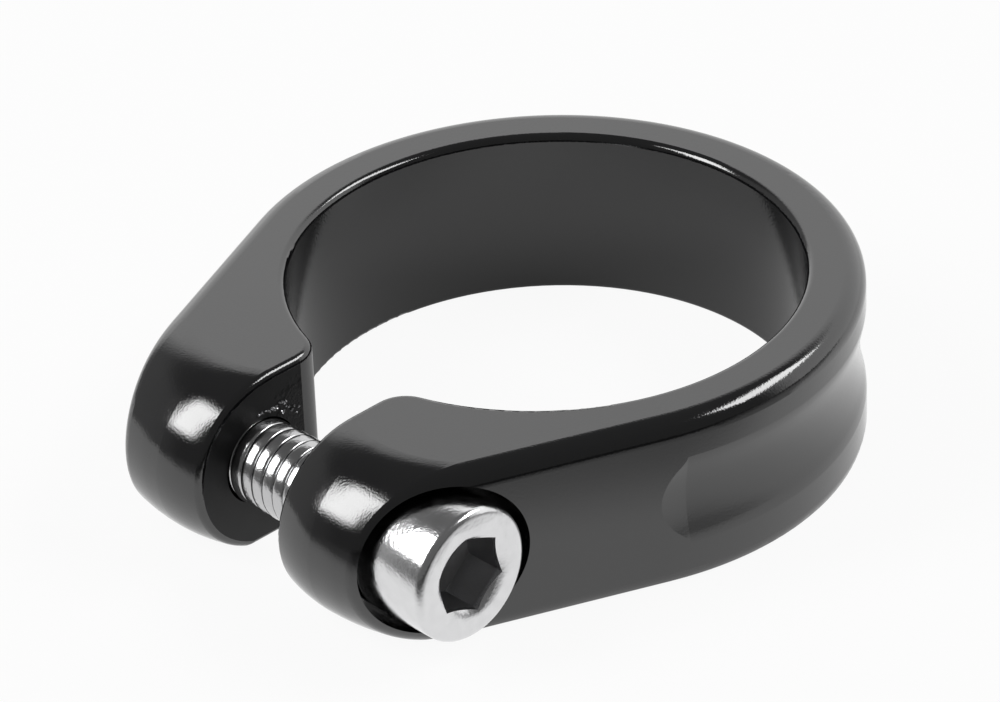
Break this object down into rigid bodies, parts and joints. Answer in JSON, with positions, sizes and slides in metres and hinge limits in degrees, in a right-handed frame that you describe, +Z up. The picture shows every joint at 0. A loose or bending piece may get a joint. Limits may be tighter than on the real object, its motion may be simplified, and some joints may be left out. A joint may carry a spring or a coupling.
{
  "type": "seatpost clamp",
  "caption": "Split ring collar that clamps a seat tube round a seatpost: a glossy black aluminium band with rounded ears drawn together across a slot by a bright socket head bolt.",
  "frame": {"origin": "on the bore axis, halfway up the collar", "axes": "+Z up the bore, out of the rounded upper edge; -Y out through the slot between the ears; +X along the bolt towards its head"},
  "size_m": [0.0428, 0.0502, 0.0122],
  "materials": {
    "black_anodised_aluminium": "glossy black anodised",
    "bright_steel": "bright polished steel"
  },
  "bodies": {
    "collar": {"clamp_collar": "black_anodised_aluminium"},
    "bolt": {"clamp_bolt": "bright_steel"}
  },
  "joints": [
    {"name": "bolt_turn", "type": "hinge", "parent": "collar", "child": "bolt", "pos_m": [0, -0.0227, 0], "axis": [1, 0, 0], "range_deg": [-360, 2160]}
  ]
}
